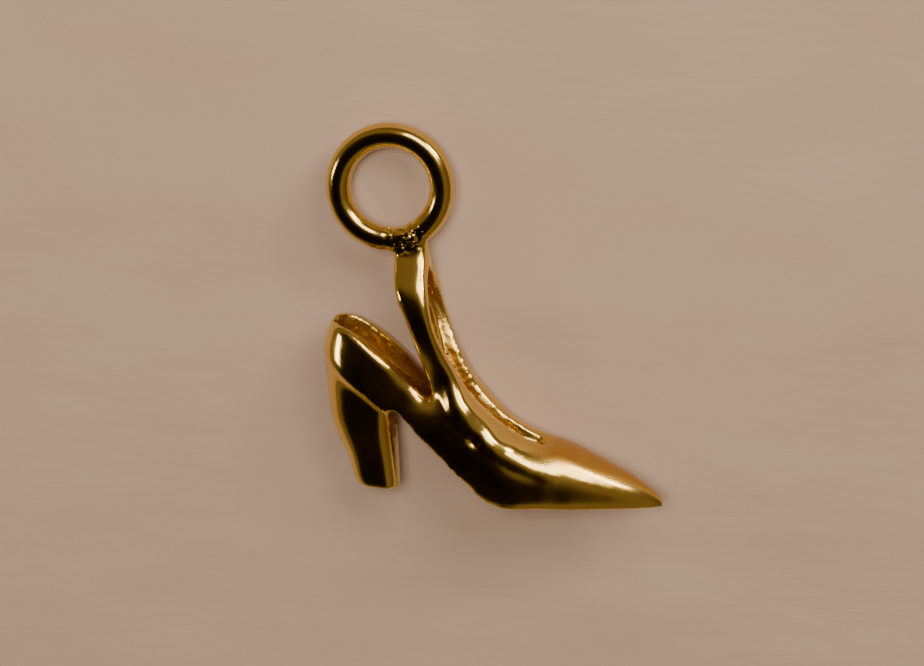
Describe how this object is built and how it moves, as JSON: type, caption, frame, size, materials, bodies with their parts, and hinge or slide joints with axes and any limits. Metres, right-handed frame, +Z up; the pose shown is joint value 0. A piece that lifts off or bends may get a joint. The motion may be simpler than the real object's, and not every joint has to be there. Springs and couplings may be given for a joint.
{
  "type": "high-heeled shoe charm",
  "caption": "Cast gold-coloured charm in the form of a high-heeled shoe, hollow with an ankle band and V notches, with a round hanging ring on its neck.",
  "frame": {"origin": "middle of the bounding box, on the surface that the charm lies on", "axes": "+X from the heel's back to the toe, +Y from the sole to the ring, +Z up from the surface that it lies on"},
  "size_m": [0.0182, 0.0198, 0.0054],
  "materials": {
    "gold_plate": "polished gold plate over cast brass, dull as cast inside"
  },
  "bodies": {
    "root": {"shoe_charm": "gold_plate"}
  },
  "joints": []
}
